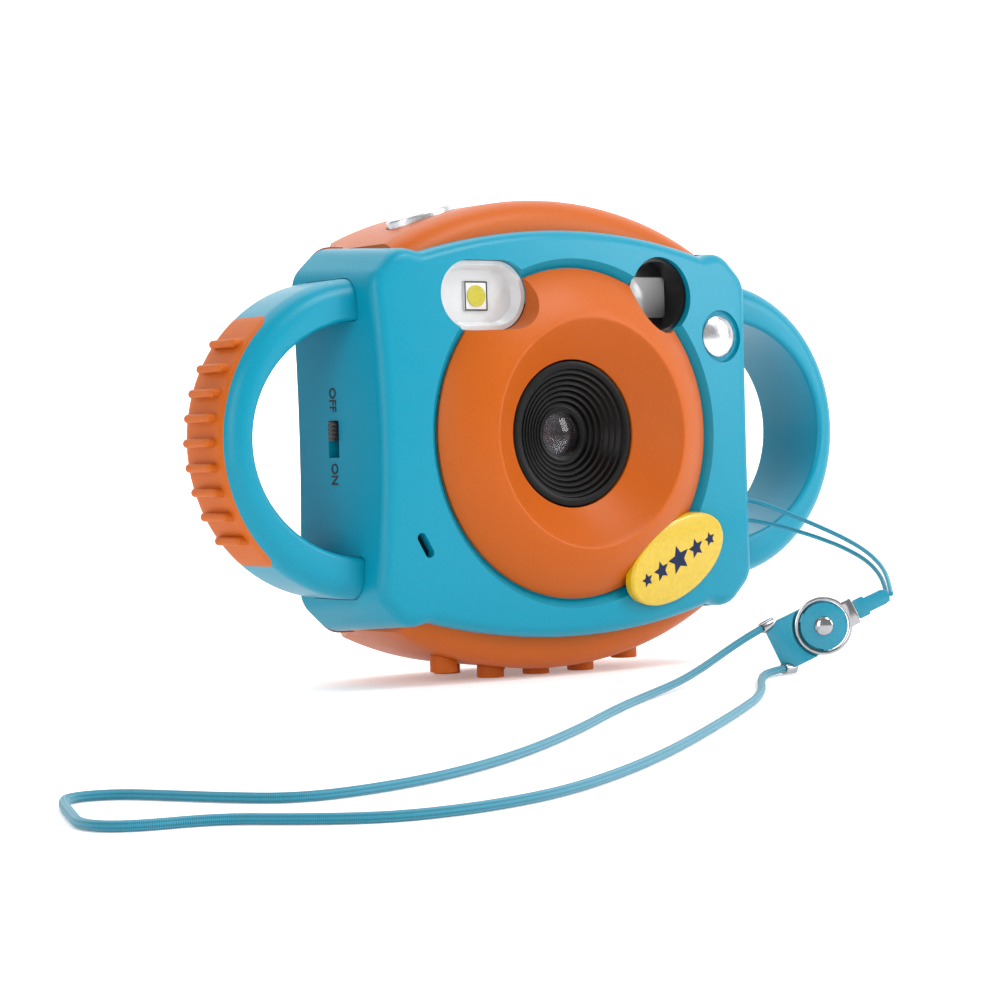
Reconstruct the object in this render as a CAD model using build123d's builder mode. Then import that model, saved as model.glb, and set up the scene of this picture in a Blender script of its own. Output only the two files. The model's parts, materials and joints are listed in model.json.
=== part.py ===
from build123d import *
import os
from math import asin, cos, degrees, radians, sin, sqrt

# Toy digital camera with two ring handles and a wrist strap.
# Millimetres. X is the viewer's right, the lens looks along -Y, +Z is up.
# The origin is at the middle of the camera's footprint, on the surface it stands on.
# A "depth" is measured backwards from the edge of the fascia, a "height" from the lens axis.

# Driving dimensions
LENS_Z = 42.6            # lens axis above the surface
PLATE_R = 28.8           # domed fascia around the lens
DOME_RISE = 5.6          # fascia crease in front of the fascia edge
REAR_DEPTH = 35.6        # back face of the case
KEY_PROUD = 0.8          # rear keys stand out of the back face
WALL = 2.2               # case walls
GAP = 0.1                # between fixed mouldings
SLIDE_GAP = 0.3          # between moving pieces and the case

FACE_Y = -(REAR_DEPTH + KEY_PROUD - DOME_RISE) / 2

# Case
CROWN_R = 420.0          # the front face is a shallow crown
CROWN_FRONT = -1.9       # depth of the crown's front
RIM_DEPTH = 4.0          # back of the blue rim between the cheeks
CHEEK_DEPTH = 23.0       # back of the cheeks
CHEEK_IN = 33.0          # inner side of the cheeks
ARCH_TOP = 35.5          # top of the blue rim
CORE_A = 55.0            # core ellipse, half width
CORE_B = 41.4            # core ellipse, half height
CORE_ROUND = 5.4         # rounding at the front of the core
EAR_FRONT = (34.6, 32.2, 40.2, 26.6, 39.3)   # ear x, ear height, corner x, corner height, waist x
EAR_BACK = (37.0, 33.6, 43.0, 28.0, 42.2)
BACK_FACE = (27.5, 32.0, 33.2, 26.0, 32.6)   # the case narrows to this at its back
EAR_ROUND = 5.0
VALLEY_DROP = 1.0        # dip between an ear and the arch
BACK_ROUND = 4.4
SIDE_ROUND = 2.6
SCREW_X = 33.2
SCREW_H = 24.0
SCREW_SEAT = 28.5        # floor of the screw wells

# Front details: centre x and height
FLASH = (-18.5, 24.0)
FLASH_SIZE = (18.3, 12.1)
FINDER = (19.4, 24.2)
FINDER_R = 6.85
MIRROR = (33.3, 16.9)
MIRROR_R = 3.65
BADGE = (20.5, -22.9)
BADGE_A = 12.1
BADGE_B = 7.2
BADGE_TURN = 23.0
MIC = (-32.1, -18.2)

# Handles
HANDLE_X = 39.1          # centre of the ring
HANDLE_R = 27.2
BORE_A = 22.2
BORE_B = 20.0
HANDLE_FRONT = 5.6
HANDLE_BACK = 22.4
HANDLE_ROOT = 37.6       # how far the arms reach into the case
GRIP_FRONT = 7.8
GRIP_BACK = 20.2
GRIP_SKIN = 1.7
GRIP_TURN = 50.0         # half the angle that a grip covers
RIB_PITCH = 4.1
RIBS = 9
RIB_DEPTH = 14.0
RIB_LENGTH = 8.4

# Rear
SCREEN = (7.4, -3.5)
SCREEN_SIZE = (42.0, 34.0)
KEY_X = -26.0
KEY_R = 3.1
KEY_TRAVEL = 0.5
KEY_HEIGHTS = {"key_menu": 17.0, "key_up": 8.5, "key_ok": 0.0, "key_down": -8.5, "key_play": -17.0}
DOOR = (0.0, -26.6)
DOOR_SIZE = (47.0, 12.0)
CELL_R = 5.2
CELL_LENGTH = 44.0
CELL_PLACES = [(27.7, -27.0), (16.9, -27.0), (22.3, -17.6)]   # depth, height
BOARD_DEPTH = 27.9
LCD_DEPTH = 29.9

# Side
SWITCH_DEPTH = 13.6
SWITCH_TRAVEL = 2.6
PORT_DEPTH = 13.0
PORT_H = 7.0
BAR_DEPTH = 4.8
BAR_H = -14.9

# Shutter button
BUTTON_X = -20.0
BUTTON_DEPTH = 17.0
BUTTON_A = 6.5
BUTTON_B = 4.5

# Strap: centre of the swivel ring, the way it faces and the tilt of its long axis
SWIVEL = (30.0, -45.0, 8.3)
STRAP_YAW = -35.0
STRAP_TILT = 24.5
RING_R = 5.0
RING_WIRE = 0.6
DISC_R = 4.0
STRING_D = 0.8
CORD_D = 1.3


def facing(depth, x=0.0, height=0.0):
    """A plane at a depth, facing forwards, with its origin at (x, height)."""
    return Plane(origin=(x, FACE_Y + depth, LENS_Z + height), x_dir=(1, 0, 0), z_dir=(0, -1, 0))


def keep(piece, name):
    """Label a finished piece and write it."""
    piece.part.label = name
    export_step(piece.part, f"parts/{name}.step")


def outline(ear_x, ear_h, corner_x, corner_h, waist_x, inset=0.0, valley=VALLEY_DROP):
    """The case outline: a top and bottom edge with rounded ears, and waisted sides."""
    ear_x, corner_x, waist_x = ear_x - 0.6 * inset, corner_x - inset, waist_x - inset
    ear_h, corner_h = ear_h - inset, corner_h - 0.6 * inset
    dip_x = min(CHEEK_IN - 2.4, ear_x - 3.0)
    with BuildSketch() as sketch:
        with BuildLine():
            top = Polyline(
                (-corner_x, corner_h), (-ear_x, ear_h), (-dip_x, ear_h - valley),
                (dip_x, ear_h - valley), (ear_x, ear_h), (corner_x, corner_h),
            )
            ThreePointArc(top @ 1, (waist_x, 0), (corner_x, -corner_h))
            bottom = Polyline(
                (corner_x, -corner_h), (ear_x, -ear_h), (dip_x, valley - ear_h),
                (-dip_x, valley - ear_h), (-ear_x, -ear_h), (-corner_x, -corner_h),
            )
            ThreePointArc(bottom @ 1, (-waist_x, 0), top @ 0)
        make_face()
        ears = sketch.vertices().filter_by(lambda vertex: abs(vertex.X) > dip_x + 0.1)
        fillet(ears, EAR_ROUND - inset)
    return sketch.sketch


def between(first, second, share):
    """Outline measures part of the way from one outline to another."""
    return tuple(a + (b - a) * share for a, b in zip(first, second))


def core_outline(half_width, inset=0.0):
    """The core ellipse, cut off square at its sides."""
    with BuildSketch() as sketch:
        Ellipse(CORE_A - inset, CORE_B - inset)
        Rectangle(2 * half_width, 3 * CORE_B, mode=Mode.INTERSECT)
    return sketch.sketch


def arch_outline():
    """The rim's outline between the cheeks."""
    end_x = CHEEK_IN - 2.0
    end_h = EAR_FRONT[1] - VALLEY_DROP
    with BuildSketch() as sketch:
        with BuildLine():
            top = ThreePointArc((-end_x, end_h), (0, ARCH_TOP), (end_x, end_h))
            right = Line(top @ 1, (end_x, -end_h))
            bottom = ThreePointArc(right @ 1, (0, -ARCH_TOP), (-end_x, -end_h))
            Line(bottom @ 1, top @ 0)
        make_face()
    return sketch.sketch


def badge_plane(lift=0.0):
    """The badge leans from the fascia down to the case."""
    lean = 11.0
    out = Vector(BADGE[0], 0, BADGE[1]).normalized()
    normal = Vector(0, -1, 0) * cos(radians(lean)) + out * sin(radians(lean))
    across = Vector(cos(radians(BADGE_TURN)), 0, sin(radians(BADGE_TURN)))
    across = (across - normal * across.dot(normal)).normalized()
    centre = Vector(BADGE[0], FACE_Y - 2.3, LENS_Z + BADGE[1])
    return Plane(origin=centre + normal * lift, x_dir=across, z_dir=normal)


def bore_outline(grow=0.0):
    """A handle's finger hole, about the ring's centre."""
    with BuildSketch() as sketch:
        Ellipse(BORE_A - grow, BORE_B - grow)
    return sketch.sketch


def handle_ring(side, grow=0.0, rounded=True):
    """One handle as a whole ring, cut off inside the case."""
    with BuildPart() as ring:
        with BuildSketch(facing(HANDLE_FRONT - grow, side * HANDLE_X)):
            Circle(HANDLE_R + grow)
            Ellipse(BORE_A - grow, BORE_B - grow, mode=Mode.SUBTRACT)
        extrude(amount=-(HANDLE_BACK - HANDLE_FRONT + 2 * grow))
        if rounded:
            rims = ring.edges().filter_by(GeomType.CIRCLE)
            fillet(rims, 3.8)
            bores = ring.edges().filter_by(GeomType.ELLIPSE)
            fillet(bores, 0.9)
        with BuildSketch(facing(-20, side * (HANDLE_ROOT - 50))):
            Rectangle(100, 100)
        extrude(amount=-80, mode=Mode.SUBTRACT)
    return ring.part


# ---------------------------------------------------------------- case
with BuildPart() as front_shell:
    with BuildSketch(facing(CROWN_FRONT - 0.1)):
        add(outline(*EAR_FRONT))
    with BuildSketch(facing(CHEEK_DEPTH)):
        add(outline(*EAR_BACK))
    loft(ruled=True)
    with BuildSketch(facing(CROWN_FRONT - 0.1)):
        add(arch_outline())
    extrude(amount=-(RIM_DEPTH - CROWN_FRONT + 0.1))
    with Locations((0, FACE_Y + CROWN_FRONT + CROWN_R, LENS_Z)):
        Sphere(CROWN_R, mode=Mode.INTERSECT)
    front_edges = front_shell.edges().filter_by_position(
        Axis.Y, FACE_Y + CROWN_FRONT - 1, FACE_Y + CROWN_FRONT + 3.6
    )
    fillet(front_edges, 2.4)
    # open behind the rim, between the cheeks
    with BuildSketch(facing(RIM_DEPTH)):
        Rectangle(2 * CHEEK_IN, 100)
    extrude(amount=-30, mode=Mode.SUBTRACT)
    # hollow
    with BuildSketch(facing(1.6)):
        add(outline(*EAR_FRONT, inset=WALL, valley=0.0))
    with BuildSketch(facing(CHEEK_DEPTH + 1)):
        add(outline(*EAR_BACK, inset=WALL, valley=0.0))
    loft(ruled=True, mode=Mode.SUBTRACT)
    # screw posts
    with BuildSketch(facing(1.4)):
        with GridLocations(2 * SCREW_X, 2 * SCREW_H, 2, 2):
            Circle(2.9)
    extrude(amount=-(CHEEK_DEPTH - 1.4))
    with BuildSketch(facing(6.0)):
        with GridLocations(2 * SCREW_X, 2 * SCREW_H, 2, 2):
            Circle(1.15)
    extrude(amount=-30, mode=Mode.SUBTRACT)
    # seat of the fascia with its chamfered edge
    with BuildSketch(facing(0.75)):
        Circle(PLATE_R + 0.2)
    extrude(amount=10, mode=Mode.SUBTRACT)
    with BuildSketch(Plane(origin=(0, FACE_Y, LENS_Z), x_dir=(1, 0, 0), z_dir=(0, 0, 1))):
        with BuildLine():
            Polyline((0, 0.75), (PLATE_R + 0.2, 0.75), (PLATE_R + 1.5, -0.6),
                     (PLATE_R + 3.1, -2.3), (0, -2.3), close=True)
        make_face()
    revolve(axis=Axis((0, FACE_Y, LENS_Z), (0, 1, 0)), mode=Mode.SUBTRACT)
    with BuildSketch(facing(RIM_DEPTH + 0.1)):
        Circle(24.6)
        with Locations(FLASH):
            SlotOverall(*FLASH_SIZE)
        with Locations(FINDER):
            Circle(FINDER_R)
        with Locations(MIRROR):
            Circle(2.0)
        with Locations((MIC[0], MIC[1], 0)):
            SlotOverall(4.7, 1.7, rotation=-60)
    extrude(amount=12, mode=Mode.SUBTRACT)
    with BuildSketch(facing(0.75)):
        with Locations(MIRROR):
            Circle(MIRROR_R + 1.1)
    extrude(amount=4, mode=Mode.SUBTRACT)
    with BuildSketch(badge_plane(-1.7)):
        Ellipse(BADGE_A + GAP, BADGE_B + GAP)
    extrude(amount=6, mode=Mode.SUBTRACT)
    # handle sockets
    for side in (-1, 1):
        add(handle_ring(side, grow=GAP), mode=Mode.SUBTRACT)
    # switch slot, left cheek
    with Locations((-41, FACE_Y + SWITCH_DEPTH, LENS_Z + 0.1)):
        Box(10, 2.8, 6.3, mode=Mode.SUBTRACT)
    # port opening with a shallow seat for its cover, right cheek
    with Locations((41, FACE_Y + PORT_DEPTH, LENS_Z + PORT_H)):
        Box(10, 10.6, 6.4, mode=Mode.SUBTRACT)
    with Locations((45.4, FACE_Y + PORT_DEPTH, LENS_Z + PORT_H)):
        Box(10, 13.4, 8.6, mode=Mode.SUBTRACT)
    # strap slot, right cheek
    with Locations((40, FACE_Y + BAR_DEPTH, LENS_Z + BAR_H)):
        Box(4, 2.4, 6.8, mode=Mode.SUBTRACT)
keep(front_shell, "front_shell")

with BuildPart() as core_block:
    with BuildSketch(facing(RIM_DEPTH + GAP)):
        add(core_outline(CHEEK_IN - GAP))
    extrude(amount=-(REAR_DEPTH - RIM_DEPTH - GAP))
    front_rim = core_block.edges().group_by(Axis.Y)[0].filter_by(GeomType.ELLIPSE)
    fillet(front_rim, CORE_ROUND)
    back_rim = core_block.edges().group_by(Axis.Y)[-1].filter_by(GeomType.ELLIPSE)
    fillet(back_rim, BACK_ROUND)

    # its back corners narrow with the sides
    with BuildSketch(Plane(origin=(0, FACE_Y, LENS_Z), x_dir=(1, 0, 0), z_dir=(0, 0, 1))):
        for side in (-1, 1):
            with BuildLine():
                Polyline((side * CHEEK_IN, CHEEK_DEPTH), (side * BACK_FACE[0], REAR_DEPTH),
                         (side * 60, REAR_DEPTH), (side * 60, CHEEK_DEPTH), close=True)
            make_face()
    extrude(amount=60, both=True, mode=Mode.SUBTRACT)

with BuildPart() as back_block:
    with BuildSketch(facing(CHEEK_DEPTH + GAP)):
        add(outline(*EAR_BACK, valley=0.0))
    with BuildSketch(facing(REAR_DEPTH)):
        add(outline(*BACK_FACE, valley=0.0))
    loft(ruled=True)
    fillet(back_block.faces().sort_by(Axis.Y)[-1].edges(), SIDE_ROUND)

with BuildPart() as screw_tubes:
    with BuildSketch(facing(CHEEK_DEPTH + GAP)):
        with GridLocations(2 * SCREW_X, 2 * SCREW_H, 2, 2):
            Circle(3.4)
    extrude(amount=-(REAR_DEPTH - CHEEK_DEPTH - 1.5))
    add(back_block.part, mode=Mode.INTERSECT)

with BuildPart() as rear_shell:
    add(core_block.part)
    add(back_block.part)
    # hollow
    with BuildSketch(facing(8.5)):
        add(core_outline(CHEEK_IN, inset=WALL + 0.2))
    extrude(amount=-(CHEEK_DEPTH + 1.0 - 8.5), mode=Mode.SUBTRACT)
    with BuildSketch(facing(CHEEK_DEPTH)):
        add(core_outline(BACK_FACE[0] - 3.0, inset=WALL + 0.2))
    extrude(amount=-(REAR_DEPTH - WALL - CHEEK_DEPTH), mode=Mode.SUBTRACT)
    with BuildSketch(facing(0)):
        add(core_outline(CHEEK_IN, inset=CORE_ROUND + 0.6))
    extrude(amount=-12, mode=Mode.SUBTRACT)
    inner_share = (REAR_DEPTH - WALL - CHEEK_DEPTH) / (REAR_DEPTH - CHEEK_DEPTH)
    with BuildSketch(facing(CHEEK_DEPTH)):
        add(outline(*EAR_BACK, inset=WALL, valley=0.0))
    with BuildSketch(facing(REAR_DEPTH - WALL)):
        add(outline(*between(EAR_BACK, BACK_FACE, inner_share), inset=WALL, valley=0.0))
    loft(ruled=True, mode=Mode.SUBTRACT)
    # room for the screw posts, then the tubes that meet them
    with BuildSketch(facing(0)):
        with GridLocations(2 * SCREW_X, 2 * SCREW_H, 2, 2):
            Circle(3.05)
    extrude(amount=-(CHEEK_DEPTH + 0.05), mode=Mode.SUBTRACT)
    add(screw_tubes.part)
    with BuildSketch(facing(0)):
        with GridLocations(2 * SCREW_X, 2 * SCREW_H, 2, 2):
            Circle(1.3)
    extrude(amount=-60, mode=Mode.SUBTRACT)
    with BuildSketch(facing(SCREW_SEAT)):
        with GridLocations(2 * SCREW_X, 2 * SCREW_H, 2, 2):
            Circle(2.4)
    extrude(amount=-20, mode=Mode.SUBTRACT)
    # screen opening and the seat of its window
    with BuildSketch(facing(0)):
        with Locations(SCREEN):
            Rectangle(SCREEN_SIZE[0] - 6, SCREEN_SIZE[1] - 5)
        with Locations((FINDER[0], FINDER[1])):
            RectangleRounded(12.4, 8.4, 2)
        with Locations(*[(KEY_X, height) for height in KEY_HEIGHTS.values()]):
            Circle(KEY_R + 0.25)
        with Locations(DOOR):
            Rectangle(DOOR_SIZE[0] - 1.4, DOOR_SIZE[1] - 1.2)
    extrude(amount=-60, mode=Mode.SUBTRACT)
    with BuildSketch(facing(REAR_DEPTH - 1.2)):
        with Locations(SCREEN):
            RectangleRounded(SCREEN_SIZE[0] + 0.2, SCREEN_SIZE[1] + 0.2, 3)
        with Locations(DOOR):
            Rectangle(DOOR_SIZE[0] + 2 * SLIDE_GAP, DOOR_SIZE[1] + 2 * SLIDE_GAP)
    extrude(amount=-5, mode=Mode.SUBTRACT)
    # speaker grille
    with BuildSketch(facing(0)):
        with Locations((-12.0, 25.0)):
            Circle(0.7)
            with PolarLocations(2.6, 6):
                Circle(0.7)
    extrude(amount=-60, mode=Mode.SUBTRACT)
    # shutter opening
    slope = degrees(asin(abs(BUTTON_X) / CORE_A)) * 0.77
    button_h = CORE_B * sqrt(1 - (BUTTON_X / CORE_A) ** 2)
    button_plane = Plane(
        origin=(BUTTON_X, FACE_Y + BUTTON_DEPTH, LENS_Z + button_h),
        x_dir=(cos(radians(slope)), 0, sin(radians(slope))),
        z_dir=(-sin(radians(slope)), 0, cos(radians(slope))),
    )
    with BuildSketch(button_plane.offset(-5)):
        Ellipse(BUTTON_A + 0.25, BUTTON_B + 0.25)
    extrude(amount=12, mode=Mode.SUBTRACT)
keep(rear_shell, "rear_shell")

# ---------------------------------------------------------------- lens and fascia
LENS_AXIS = Axis((0, FACE_Y, LENS_Z), (0, 1, 0))
LENS_SECTION = Plane(origin=(0, FACE_Y, LENS_Z), x_dir=(1, 0, 0), z_dir=(0, 0, 1))
CREASE_R = 19.95
BARREL_R = 12.9
BARREL_RIM = 0.65

with BuildPart() as dome_block:
    with BuildSketch(LENS_SECTION):
        with BuildLine():
            crest = ThreePointArc((PLATE_R, 0), (24.7, -3.3), (CREASE_R, -DOME_RISE))
            Polyline(crest @ 1, (CREASE_R - 0.9, -DOME_RISE + 1.4), (CREASE_R - 0.9, 0.65), (PLATE_R, 0.65),
                     (PLATE_R, 0))
        make_face()
    revolve(axis=LENS_AXIS)

with BuildPart() as collars:
    with BuildSketch(facing(0.65)):
        with Locations(FLASH):
            SlotOverall(FLASH_SIZE[0] + 2.4, FLASH_SIZE[1] + 2.4)
        with Locations(FINDER):
            Circle(FINDER_R + 1.2)
    extrude(amount=10)
    add(dome_block.part, mode=Mode.INTERSECT)

with BuildPart() as lens_plate:
    with BuildSketch(LENS_SECTION):
        with BuildLine():
            dome = ThreePointArc((PLATE_R, 0), (24.7, -3.3), (CREASE_R, -DOME_RISE))
            bowl = ThreePointArc(dome @ 1, (15.9, -1.9), (BARREL_R + 0.1, 0.5))
            Polyline(bowl @ 1, (BARREL_R + 0.1, 2.4), (15.2, 2.4), (19.4, -2.4), (20.6, -2.8),
                     (24.2, 0.65), (PLATE_R, 0.65), (PLATE_R, 0))
        make_face()
    revolve(axis=LENS_AXIS)
    crease = lens_plate.edges().filter_by(GeomType.CIRCLE).sort_by(Axis.Y)[0]
    fillet(crease, 0.5)
    add(collars.part)
    with BuildSketch(facing(3.0)):
        with Locations(FLASH):
            SlotOverall(*FLASH_SIZE)
        with Locations(FINDER):
            Circle(FINDER_R)
    extrude(amount=12, mode=Mode.SUBTRACT)
    with BuildSketch(badge_plane(-1.7)):
        Ellipse(BADGE_A + GAP, BADGE_B + GAP)
    extrude(amount=6, mode=Mode.SUBTRACT)
keep(lens_plate, "lens_plate")

STEPS = 7
STEP_R = 0.95
STEP_DEPTH = 0.5
with BuildPart() as lens_barrel:
    steps = [(11.3, BARREL_RIM)]
    for step in range(STEPS):
        radius = 11.1 - step * STEP_R
        depth = BARREL_RIM + 0.5 + step * STEP_DEPTH
        steps += [(radius, depth), (radius - 0.55, depth), (radius - 0.6, depth - 0.22)]
    with BuildSketch(LENS_SECTION):
        with BuildLine():
            Polyline((BARREL_R, BARREL_RIM + 0.3), (BARREL_R - 0.3, BARREL_RIM), *steps,
                     (4.0, 4.1), (4.0, 10.5), (BARREL_R, 10.5), close=True)
        make_face()
    revolve(axis=LENS_AXIS)
keep(lens_barrel, "lens_barrel")

with BuildPart() as lens_glass:
    with BuildSketch(facing(3.8)):
        Circle(3.9)
    extrude(amount=-2.1)
    with Locations((0, FACE_Y + 3.9 + 8.1, LENS_Z)):
        Sphere(8.1, mode=Mode.INTERSECT)
keep(lens_glass, "lens_glass")

with BuildPart() as lens_cell:
    with BuildSketch(LENS_SECTION):
        with BuildLine():
            Polyline((2.4, 6.0), (3.9, 6.0), (3.9, 12.2), (3.2, 12.2), (3.2, 8.4), (2.4, 8.4), close=True)
        make_face()
    revolve(axis=LENS_AXIS)
keep(lens_cell, "lens_cell")

with BuildPart() as inner_lens:
    with BuildSketch(facing(8.5)):
        Circle(3.1)
    extrude(amount=-1.4)
keep(inner_lens, "inner_lens")

# ---------------------------------------------------------------- front details
FLASH_RIM = 0.9
FLASH_FLOOR = 3.0
with BuildPart() as flash_reflector:
    with BuildSketch(facing(FLASH_RIM)):
        with Locations(FLASH):
            SlotOverall(FLASH_SIZE[0] - 0.2, FLASH_SIZE[1] - 0.2)
    extrude(amount=-(4.2 - FLASH_RIM))
    with BuildSketch(facing(FLASH_RIM)):
        with Locations(FLASH):
            SlotOverall(FLASH_SIZE[0] - 1.8, FLASH_SIZE[1] - 1.8)
    extrude(amount=-(FLASH_FLOOR - FLASH_RIM), taper=18, mode=Mode.SUBTRACT)
    with BuildSketch(facing(0)):
        with Locations(FLASH):
            Rectangle(4.8, 5.1)
    extrude(amount=-10, mode=Mode.SUBTRACT)
keep(flash_reflector, "flash_reflector")

with BuildPart() as flash_led:
    with BuildSketch(facing(2.6)):
        with Locations(FLASH):
            Rectangle(4.7, 5.0)
    extrude(amount=-1.7)
keep(flash_led, "flash_led")

with BuildPart() as flash_phosphor:
    with BuildSketch(facing(2.6)):
        with Locations(FLASH):
            Circle(1.85)
    extrude(amount=0.2)
keep(flash_phosphor, "flash_phosphor")

with BuildPart() as flash_board:
    with BuildSketch(facing(4.4)):
        with Locations(FLASH):
            RectangleRounded(16.0, 9.0, 1.0)
    extrude(amount=-1.2)
keep(flash_board, "flash_board")

TUNNEL = (15.0, 9.8)
PANE = (12.4, 7.4)
with BuildPart() as finder_tube:
    with BuildSketch(facing(0.8)):
        with Locations(FINDER):
            Circle(FINDER_R - 0.1)
    extrude(amount=-5.2)
    with BuildSketch(facing(6.0)):
        with Locations(FINDER):
            Rectangle(*TUNNEL)
    extrude(amount=-(33.2 - 6.0))
    with BuildSketch(facing(0)):
        with Locations(FINDER):
            Circle(FINDER_R - 0.7)
    extrude(amount=-5.4, mode=Mode.SUBTRACT)
    with BuildSketch(facing(5.3)):
        with Locations(FINDER):
            Rectangle(*PANE)
    extrude(amount=-40, mode=Mode.SUBTRACT)
keep(finder_tube, "finder_tube")

with BuildPart() as finder_window:
    with BuildSketch(facing(6.2)):
        with Locations(FINDER):
            Rectangle(PANE[0] - 0.1, PANE[1] - 0.1)
    extrude(amount=-1.4)
keep(finder_window, "finder_window")

with BuildPart() as eyepiece:
    with BuildSketch(facing(33.3)):
        with Locations(FINDER):
            RectangleRounded(12.2, 8.2, 1.9)
    extrude(amount=-2.0)
keep(eyepiece, "eyepiece")

MIRROR_RISE = 1.0
with BuildPart() as selfie_mirror:
    with BuildSketch(facing(0.75)):
        with Locations(MIRROR):
            Circle(MIRROR_R)
    extrude(amount=0.3 + MIRROR_RISE)
    mirror_ball = (MIRROR_R ** 2 + MIRROR_RISE ** 2) / (2 * MIRROR_RISE)
    with Locations((MIRROR[0], FACE_Y + 0.45 - MIRROR_RISE + mirror_ball, LENS_Z + MIRROR[1])):
        Sphere(mirror_ball, mode=Mode.INTERSECT)
    with BuildSketch(facing(0.75)):
        with Locations(MIRROR):
            Circle(1.9)
    extrude(amount=-2.2)
keep(selfie_mirror, "selfie_mirror")

with BuildPart() as badge:
    with BuildSketch(badge_plane(-1.6)):
        Ellipse(BADGE_A, BADGE_B)
    extrude(amount=1.6)
    fillet(badge.edges().filter_by(GeomType.ELLIPSE).sort_by(Axis.Y)[0], 0.6)
keep(badge, "badge")

# ---------------------------------------------------------------- handles and grips
handle_sides = {"left": -1, "right": 1}
for name, side in handle_sides.items():
    whole = handle_ring(side)
    with BuildPart(mode=Mode.PRIVATE) as skin:
        with BuildSketch(facing(GRIP_FRONT, side * HANDLE_X)):
            Circle(HANDLE_R + 5)
            Circle(HANDLE_R - GRIP_SKIN, mode=Mode.SUBTRACT)
            with BuildLine():
                reach_x = side * 60 * cos(radians(GRIP_TURN))
                reach_h = 60 * sin(radians(GRIP_TURN))
                Polyline((0, 0), (reach_x, reach_h), (side * 60, 0), (reach_x, -reach_h), close=True)
            make_face(mode=Mode.INTERSECT)
        extrude(amount=-(GRIP_BACK - GRIP_FRONT))
        ends = skin.edges().filter_by(lambda edge: abs(edge.tangent_at(0.5).Y) < 0.01)
        ends = ends.filter_by(GeomType.LINE)
        fillet(ends, 2.4)
    with BuildPart() as handle:
        add(whole)
        add(skin.part, mode=Mode.SUBTRACT)
    keep(handle, f"{name}_handle")
    with BuildPart(mode=Mode.PRIVATE) as bar:
        with BuildSketch(Plane(origin=(0, 0, 0), x_dir=(0, 1, 0), z_dir=(side, 0, 0))):
            SlotOverall(RIB_LENGTH, 1.5)
        extrude(amount=2.9)
        fillet(bar.faces().sort_by(Axis.X)[-1 if side > 0 else 0].edges(), 0.65)
    with BuildPart() as grip:
        add(whole)
        add(skin.part, mode=Mode.INTERSECT)
        for rib in range(RIBS):
            height = (rib - (RIBS - 1) / 2) * RIB_PITCH
            reach = HANDLE_X + sqrt(HANDLE_R ** 2 - height ** 2)
            with Locations((side * (reach - 1.2), FACE_Y + RIB_DEPTH, LENS_Z + height)):
                add(bar.part)
    keep(grip, f"{name}_grip")

# ---------------------------------------------------------------- feet
FOOT_R = 2.4
FOOT_PITCH = 9.9
with BuildPart() as rubber_feet:
    for depth, places in ((13.8, (-2, -1, 0, 1, 2)), (27.6, (-1, 0, 1))):
        for place in places:
            lift = 1.6 if abs(place) == 2 else 0.0
            x = place * FOOT_PITCH
            belly = LENS_Z - CORE_B * sqrt(1 - ((abs(x) + FOOT_R) / CORE_A) ** 2)
            with BuildSketch(Plane(origin=(x, FACE_Y + depth, lift))):
                Circle(FOOT_R)
            extrude(amount=belly + 0.6 - lift)
    add(rear_shell.part, mode=Mode.SUBTRACT)
keep(rubber_feet, "rubber_feet")

# ---------------------------------------------------------------- moving pieces
with BuildPart() as shutter_button:
    with BuildSketch(button_plane.offset(-3.4)):
        Ellipse(BUTTON_A, BUTTON_B)
    extrude(amount=4.45)
    crown = shutter_button.edges().filter_by(GeomType.ELLIPSE).sort_by(Axis.Z)[-1]
    fillet(crown, 0.5)
    with BuildSketch(button_plane.offset(-4.2)):
        Ellipse(BUTTON_A + 0.9, BUTTON_B + 0.9)
    extrude(amount=0.8)
keep(shutter_button, "shutter_button")

KNOB = (2.3, 3.3)
with BuildPart() as power_knob:
    with Locations((-38.8, FACE_Y + SWITCH_DEPTH, LENS_Z + 1.45)):
        Box(5.6, KNOB[0], KNOB[1])
    for groove in range(4):
        with Locations((-41.6, FACE_Y + SWITCH_DEPTH, LENS_Z + 0.4 + groove * 0.7)):
            Box(0.6, KNOB[0] + 1, 0.32, mode=Mode.SUBTRACT)
keep(power_knob, "power_knob")

for name, height in KEY_HEIGHTS.items():
    with BuildPart() as key:
        with BuildSketch(facing(REAR_DEPTH - WALL - 1.2, KEY_X, height)):
            Circle(KEY_R)
        extrude(amount=-(WALL + 1.2 + KEY_PROUD))
        fillet(key.edges().sort_by(Axis.Y)[-1], 0.4)
        with BuildSketch(facing(REAR_DEPTH - WALL - 1.2, KEY_X, height)):
            Circle(KEY_R + 0.8)
        extrude(amount=-0.8)
    keep(key, name)

with BuildPart() as battery_door:
    with BuildSketch(facing(REAR_DEPTH - 1.1)):
        with Locations(DOOR):
            Rectangle(*DOOR_SIZE)
    extrude(amount=-1.1)
    with BuildSketch(facing(REAR_DEPTH - 0.3)):
        with Locations((DOOR[0], DOOR[1] - 2.6)):
            with GridLocations(2.2, 1, 5, 1):
                SlotOverall(4, 0.9, rotation=90)
    extrude(amount=-1, mode=Mode.SUBTRACT)
    with BuildSketch(facing(0)):
        with Locations((18.0, DOOR[1])):
            Circle(1.3)
    extrude(amount=-60, mode=Mode.SUBTRACT)
    with BuildSketch(facing(REAR_DEPTH - 0.6)):
        with Locations((18.0, DOOR[1])):
            Circle(2.3)
    extrude(amount=-5, mode=Mode.SUBTRACT)
keep(battery_door, "battery_door")

with BuildPart() as port_cover:
    with Locations((41.05, FACE_Y + PORT_DEPTH, LENS_Z + PORT_H)):
        Box(1.1, 12.8, 8.0)
    with Locations((39.9, FACE_Y + PORT_DEPTH - 0.5, LENS_Z + PORT_H)):
        Box(1.4, 8.6, 5.2)
keep(port_cover, "port_cover")

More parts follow.
